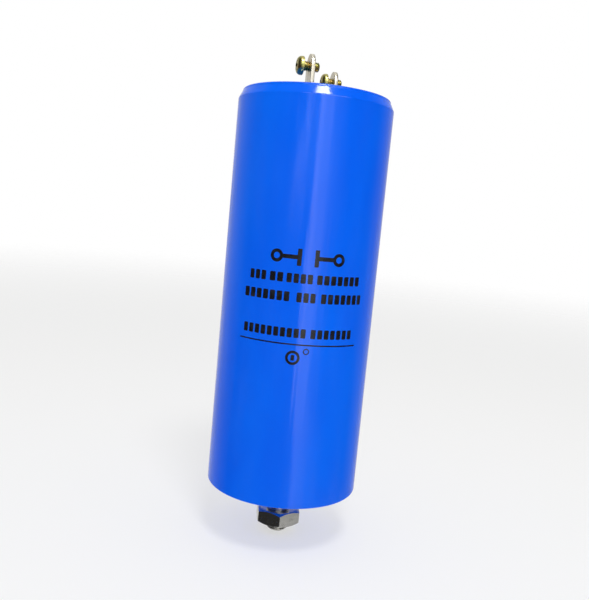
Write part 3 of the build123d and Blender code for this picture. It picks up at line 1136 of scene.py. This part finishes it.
class CAPACITOR_OT_inner(bpy.types.Operator):
    """Give the pieces inside the case their finishes"""

    bl_idname = "capacitor.inner_pieces"
    bl_label = "Inner pieces"
    bl_options = {"REGISTER", "UNDO"}

    def execute(self, context):
        slots = {
            "base_pad": "pad_board", "winding_core": "core_plastic",
            "film_winding": "metallised_film", "lower_end_spray": "sprayed_zinc",
            "upper_end_spray": "sprayed_zinc", "winding_wrap": "wrap_tape",
            "short_lead": "lead_wire", "long_lead": "lead_wire",
            "short_lead_sleeve": "sleeve_pvc", "long_lead_sleeve": "sleeve_pvc",
            "upper_foot_solder": "solder", "lower_foot_solder": "solder",
            "front_lug_solder": "solder", "rear_lug_solder": "solder",
            "front_solder_lug": "tinned_brass", "rear_solder_lug": "tinned_brass",
            "potting_resin": "resin",
        }
        for name, slot in slots.items():
            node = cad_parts[name]
            node.data.materials.clear()
            node.data.materials.append(finish(slot))
        return {"FINISHED"}


# ---------------------------------------------------------------- studio


def studio_direction(turn, rise):
    """A direction from the object, by degrees right of the studio's front and degrees up."""
    a, e = math.radians(turn + FRONT_TURN), math.radians(rise)
    return Vector((math.sin(a) * math.cos(e), -math.cos(a) * math.cos(e), math.sin(e)))


def window(tree, value, start, start_full, end_full, end):
    """1 inside a range of a value, easing to 0 at both of its edges."""
    return add_node(
        tree, "ShaderNodeMath",
        {
            0: add_node(
                tree, "ShaderNodeMapRange",
                {"Value": value, "From Min": start, "From Max": start_full}, 0,
                interpolation_type="SMOOTHSTEP",
            ),
            1: add_node(
                tree, "ShaderNodeMapRange",
                {
                    "Value": value, "From Min": end_full, "From Max": end, "To Min": 1.0,
                    "To Max": 0.0,
                },
                0, interpolation_type="SMOOTHSTEP",
            ),
        },
        0, operation="MULTIPLY",
    )


# How bright the studio is to dull surfaces, from every side
AMBIENT = 0.62


def light_the_world():
    """White all round to the eye, soft and even on dull surfaces, and for glossy ones a
    studio with a dark front, pale sides and back, and a tall soft strip right of front."""
    world = bpy.data.worlds.new("studio")
    bpy.context.scene.world = world
    world.use_nodes = True
    tree = world.node_tree
    tree.nodes.clear()
    way = add_node(tree, "ShaderNodeTexCoord").outputs["Generated"]

    def along(axis):
        return add_node(
            tree, "ShaderNodeVectorMath", {0: way, 1: axis}, operation="DOT_PRODUCT"
        ).outputs["Value"]

    front, right = studio_direction(0, 0), studio_direction(90, 0)
    turn = add_node(
        tree, "ShaderNodeMath",
        {
            0: add_node(
                tree, "ShaderNodeMath", {0: along(right), 1: along(front)}, 0, operation="ARCTAN2"
            ),
        },
        0, operation="DEGREES",
    )
    rise = add_node(
        tree, "ShaderNodeMath",
        {0: add_node(tree, "ShaderNodeMath", {0: along((0, 0, 1))}, 0, operation="ARCSINE")}, 0,
        operation="DEGREES",
    )
    # Pale sides and back
    from_front = add_node(
        tree, "ShaderNodeMath",
        {0: add_node(tree, "ShaderNodeMath", {0: turn, 1: 8.0}, 0, operation="SUBTRACT")}, 0,
        operation="ABSOLUTE",
    )
    light = add_node(
        tree, "ShaderNodeMapRange",
        {"Value": from_front, "From Min": 97.0, "From Max": 180.0, "To Min": 0.03, "To Max": 0.85},
        0,
    )
    parts = [light]
    # The tall strip, fainter and further right where it is low
    low = add_node(
        tree, "ShaderNodeMapRange", {"Value": rise, "From Min": -13.0, "From Max": -20.0}, 0,
        interpolation_type="SMOOTHSTEP",
    )
    strip_turn = add_node(
        tree, "ShaderNodeMath",
        {0: turn, 1: add_node(tree, "ShaderNodeMath", {0: low, 1: 9.0}, 0, operation="MULTIPLY")},
        0, operation="SUBTRACT",
    )
    strip = add_node(
        tree, "ShaderNodeMath",
        {
            0: add_node(
                tree, "ShaderNodeMath",
                {
                    0: add_node(
                        tree, "ShaderNodeMath",
                        {0: window(tree, strip_turn, 5.0, 7.5, 9.0, 16.0), 1: 0.9}, 0,
                        operation="MULTIPLY",
                    ),
                    1: add_node(
                        tree, "ShaderNodeMath",
                        {0: window(tree, strip_turn, 5.0, 7.5, 24.0, 30.0), 1: 0.85}, 0,
                        operation="MULTIPLY",
                    ),
                },
                0, operation="ADD",
            ),
            1: add_node(
                tree, "ShaderNodeMath",
                {0: window(tree, strip_turn, 5.0, 7.5, 30.0, 52.0), 1: 0.35}, 0,
                operation="MULTIPLY",
            ),
        },
        0, operation="ADD",
    )
    parts.append(
        add_node(
            tree, "ShaderNodeMath",
            {
                0: strip,
                1: add_node(
                    tree, "ShaderNodeMath",
                    {
                        0: 1.0,
                        1: add_node(
                            tree, "ShaderNodeMath", {0: low, 1: 0.5}, 0, operation="MULTIPLY"
                        ),
                    },
                    0, operation="SUBTRACT",
                ),
            },
            0, operation="MULTIPLY",
        ),
    )
    # A crumpled reflector left of front, seen only high on the wall
    streak_place = add_node(
        tree, "ShaderNodeCombineXYZ",
        {
            0: add_node(tree, "ShaderNodeMath", {0: turn, 1: 0.16}, 0, operation="MULTIPLY"),
            1: add_node(tree, "ShaderNodeMath", {0: rise, 1: 0.42}, 0, operation="MULTIPLY"),
        },
    ).outputs[0]
    streaks = add_node(
        tree, "ShaderNodeTexNoise", {"Vector": streak_place, "Scale": 1.0, "Detail": 3.0}
    ).outputs["Fac"]
    crumple = add_node(
        tree, "ShaderNodeMath",
        {
            0: window(tree, turn, -26.0, -22.0, -2.0, 4.0),
            1: window(tree, rise, 0.5, 2.0, 10.0, 11.5),
        },
        0, operation="MULTIPLY",
    )
    parts.append(
        add_node(
            tree, "ShaderNodeMath",
            {
                0: crumple,
                1: add_node(
                    tree, "ShaderNodeMapRange",
                    {
                        "Value": streaks, "From Min": 0.5, "From Max": 0.58, "To Min": 0.0,
                        "To Max": 2.2,
                    },
                    0, interpolation_type="SMOOTHSTEP",
                ),
            },
            0, operation="MULTIPLY",
        ),
    )
    # A soft box above the front, and a pale ceiling
    box = add_node(
        tree, "ShaderNodeMath",
        {
            0: window(tree, turn, -26.0, -16.0, 40.0, 56.0),
            1: window(tree, rise, 16.0, 24.0, 36.0, 46.0),
        },
        0, operation="MULTIPLY",
    )
    parts.append(add_node(tree, "ShaderNodeMath", {0: box, 1: 2.2}, 0, operation="MULTIPLY"))
    parts.append(
        add_node(
            tree, "ShaderNodeMapRange",
            {"Value": rise, "From Min": 48.0, "From Max": 88.0, "To Min": 0.0, "To Max": 0.5}, 0,
            interpolation_type="SMOOTHSTEP",
        ),
    )
    # The table beyond the right of the stud
    table = add_node(
        tree, "ShaderNodeMath",
        {
            0: window(tree, turn, 38.0, 60.0, 120.0, 150.0),
            1: add_node(
                tree, "ShaderNodeMapRange", {"Value": rise, "From Min": -22.0, "From Max": -27.0},
                0, interpolation_type="SMOOTHSTEP",
            ),
        },
        0, operation="MULTIPLY",
    )
    parts.append(add_node(tree, "ShaderNodeMath", {0: table, 1: 0.95}, 0, operation="MULTIPLY"))
    glossy = parts[0]
    for part in parts[1:]:
        glossy = add_node(tree, "ShaderNodeMath", {0: glossy, 1: part}, 0, operation="ADD")
    path = add_node(tree, "ShaderNodeLightPath")
    seen = add_node(
        tree, "ShaderNodeMath",
        {0: path.outputs["Is Camera Ray"], 1: path.outputs["Is Transmission Ray"]}, 0,
        operation="MAXIMUM",
    )
    on_gloss = add_node(
        tree, "ShaderNodeMath",
        {
            0: add_node(
                tree, "ShaderNodeMath", {0: path.outputs["Is Glossy Ray"], 1: glossy}, 0,
                operation="MULTIPLY",
            ),
            1: add_node(
                tree, "ShaderNodeMath",
                {
                    0: add_node(
                        tree, "ShaderNodeMath", {0: 1.0, 1: path.outputs["Is Glossy Ray"]}, 0,
                        operation="SUBTRACT",
                    ),
                    1: AMBIENT,
                },
                0, operation="MULTIPLY",
            ),
        },
        0, operation="ADD",
    )
    strength = add_node(
        tree, "ShaderNodeMath",
        {
            0: seen,
            1: add_node(
                tree, "ShaderNodeMath",
                {
                    0: add_node(
                        tree, "ShaderNodeMath", {0: 1.0, 1: seen}, 0, operation="SUBTRACT"
                    ),
                    1: on_gloss,
                },
                0, operation="MULTIPLY",
            ),
        },
        0, operation="ADD",
    )
    back = add_node(tree, "ShaderNodeBackground", {"Color": (1, 1, 1, 1), "Strength": strength})
    add_node(tree, "ShaderNodeOutputWorld", {"Surface": back.outputs[0]})


def add_softbox(name, turn, rise, distance, width, height, radiance, visible_in_gloss):
    """A panel of light that faces the middle of the object, unseen by the camera."""
    middle = Vector((0, 0, 0.062))
    away = studio_direction(turn, rise)
    bm = bmesh.new()
    bmesh.ops.create_circle(bm, cap_ends=True, segments=48, radius=0.5)
    mesh = bpy.data.meshes.new(name)
    bm.to_mesh(mesh)
    bm.free()
    panel = bpy.data.objects.new(name, mesh)
    bpy.context.scene.collection.objects.link(panel)
    panel.scale = (width, height, 1)
    panel.rotation_mode = "QUATERNION"
    panel.rotation_quaternion = away.to_track_quat("Z", "Y")
    panel.location = middle + away * distance
    material, tree = new_tree(f"{name}_glow")
    glow = add_node(tree, "ShaderNodeEmission", {"Strength": radiance})
    add_node(tree, "ShaderNodeOutputMaterial", {"Surface": glow.outputs[0]})
    mesh.materials.append(material)
    panel.visible_camera = False
    panel.visible_shadow = False
    panel.visible_glossy = visible_in_gloss


def lay_floor(colour):
    """A pale floor that fades into the white round it, and that glossy rays pass through."""
    bm = bmesh.new()
    bmesh.ops.create_grid(bm, x_segments=8, y_segments=8, size=1.6)
    mesh = bpy.data.meshes.new("studio_floor")
    bm.to_mesh(mesh)
    bm.free()
    floor = bpy.data.objects.new("studio_floor", mesh)
    floor.location.z = CAD_BOX[0].z
    bpy.context.scene.collection.objects.link(floor)
    material, tree = new_tree("painted_board_floor")
    place = add_node(tree, "ShaderNodeTexCoord").outputs["Object"]
    reach = add_node(tree, "ShaderNodeVectorMath", {0: place}, operation="LENGTH").outputs["Value"]
    path = add_node(tree, "ShaderNodeLightPath")
    clear = add_node(
        tree, "ShaderNodeMath",
        {
            0: add_node(
                tree, "ShaderNodeMapRange", {"Value": reach, "From Min": 0.25, "From Max": 1.4}, 0,
                interpolation_type="SMOOTHSTEP",
            ),
            1: add_node(
                tree, "ShaderNodeMath",
                {0: path.outputs["Is Glossy Ray"], 1: path.outputs["Is Transmission Ray"]}, 0,
                operation="MAXIMUM",
            ),
        },
        0, operation="MAXIMUM",
    )
    paint = add_node(tree, "ShaderNodeBsdfDiffuse", {"Color": rgba(colour)})
    gone = add_node(tree, "ShaderNodeBsdfTransparent")
    # To the eye the board is halfway to white, and still keeps the object's shadow
    white = add_node(tree, "ShaderNodeEmission", {"Strength": 1.0})
    pale = add_node(
        tree, "ShaderNodeMixShader",
        {
            0: add_node(
                tree, "ShaderNodeMath", {0: path.outputs["Is Camera Ray"], 1: 0.55}, 0,
                operation="MULTIPLY",
            ),
            1: paint.outputs[0], 2: white.outputs[0],
        },
    )
    mixed = add_node(
        tree, "ShaderNodeMixShader", {0: clear, 1: pale.outputs[0], 2: gone.outputs[0]}
    )
    add_node(tree, "ShaderNodeOutputMaterial", {"Surface": mixed.outputs[0]})
    mesh.materials.append(material)


# The camera: its place in metres, its tilt, turn and roll in radians, and its lens in mm
CAMERA_PLACE = (-0.05174, -0.2241, 0.0894)
CAMERA_TILT, CAMERA_TURN, CAMERA_ROLL = -0.1193, -0.0047, 0.0938
CAMERA_LENS = 41.79


def place_camera():
    """The camera, in front of the case and a little above its middle, leaning slightly."""
    side = Matrix.Rotation(math.radians(FRONT_TURN), 3, "Z")
    forward = Vector(
        (
            math.cos(CAMERA_TILT) * math.sin(CAMERA_TURN),
            math.cos(CAMERA_TILT) * math.cos(CAMERA_TURN),
            math.sin(CAMERA_TILT),
        )
    )
    level = Vector((math.cos(CAMERA_TURN), -math.sin(CAMERA_TURN), 0))
    up = level.cross(forward)
    right = level * math.cos(CAMERA_ROLL) + up * math.sin(CAMERA_ROLL)
    up = up * math.cos(CAMERA_ROLL) - level * math.sin(CAMERA_ROLL)
    turn = Matrix((side @ right, side @ up, side @ -forward)).transposed().to_4x4()
    data = bpy.data.cameras.new("camera")
    data.lens, data.sensor_width, data.sensor_fit = CAMERA_LENS, 36.0, "AUTO"
    data.clip_start, data.clip_end = 0.01, 20.0
    camera = bpy.data.objects.new("camera", data)
    camera.matrix_world = Matrix.Translation(CAMERA_PLACE) @ turn
    bpy.context.scene.collection.objects.link(camera)
    bpy.context.scene.camera = camera


class CAPACITOR_OT_stage(bpy.types.Operator):
    """Lay the floor, light the studio and place the camera"""

    bl_idname = "capacitor.stage"
    bl_label = "Studio"
    bl_options = {"REGISTER", "UNDO"}

    def execute(self, context):
        context.scene.view_settings.view_transform = "Standard"
        lay_floor(context.scene.capacitor_colours.floor)
        light_the_world()
        add_softbox(
            "key_lamp", turn=12.0, rise=60.0, distance=0.6, width=0.158, height=0.158,
            radiance=24.0, visible_in_gloss=True,
        )
        add_softbox(
            "front_fill", turn=8.0, rise=14.0, distance=0.7, width=0.5, height=0.5,
            radiance=0.9, visible_in_gloss=False,
        )
        place_camera()
        return {"FINISHED"}


class CAPACITOR_PT_pieces(bpy.types.Panel):
    """The pieces of the capacitor and the studio"""

    bl_label = "Motor run capacitor"
    bl_idname = "CAPACITOR_PT_pieces"
    bl_space_type = "VIEW_3D"
    bl_region_type = "UI"
    bl_category = "Capacitor"

    def draw(self, context):
        for group in (context.scene.capacitor_sizes, context.scene.capacitor_colours):
            column = self.layout.column(align=True)
            for name in group.__annotations__:
                column.prop(group, name)
        for operator in OPERATORS:
            self.layout.operator(operator.bl_idname)


OPERATORS = (
    CAPACITOR_OT_stage,
    CAPACITOR_OT_case,
    CAPACITOR_OT_lid,
    CAPACITOR_OT_print,
    CAPACITOR_OT_terminals,
    CAPACITOR_OT_rivets,
    CAPACITOR_OT_screws,
    CAPACITOR_OT_stud,
    CAPACITOR_OT_nut,
    CAPACITOR_OT_inner,
)
CLASSES = (CapacitorSizes, CapacitorColours, *OPERATORS, CAPACITOR_PT_pieces)


def register():
    """Add the classes to Blender, and the settings to its scenes."""
    for cls in CLASSES:
        bpy.utils.register_class(cls)
    bpy.types.Scene.capacitor_sizes = PointerProperty(type=CapacitorSizes)
    bpy.types.Scene.capacitor_colours = PointerProperty(type=CapacitorColours)


def unregister():
    """Take the settings and the classes out again."""
    del bpy.types.Scene.capacitor_colours
    del bpy.types.Scene.capacitor_sizes
    for cls in reversed(CLASSES):
        bpy.utils.unregister_class(cls)


def main():
    """Build every piece and the studio."""
    register()
    for operator in OPERATORS:
        group, name = operator.bl_idname.split(".")
        if getattr(getattr(bpy.ops, group), name)() != {"FINISHED"}:
            raise RuntimeError(f"{operator.bl_idname} did not finish")


if __name__ == "__main__":
    main()
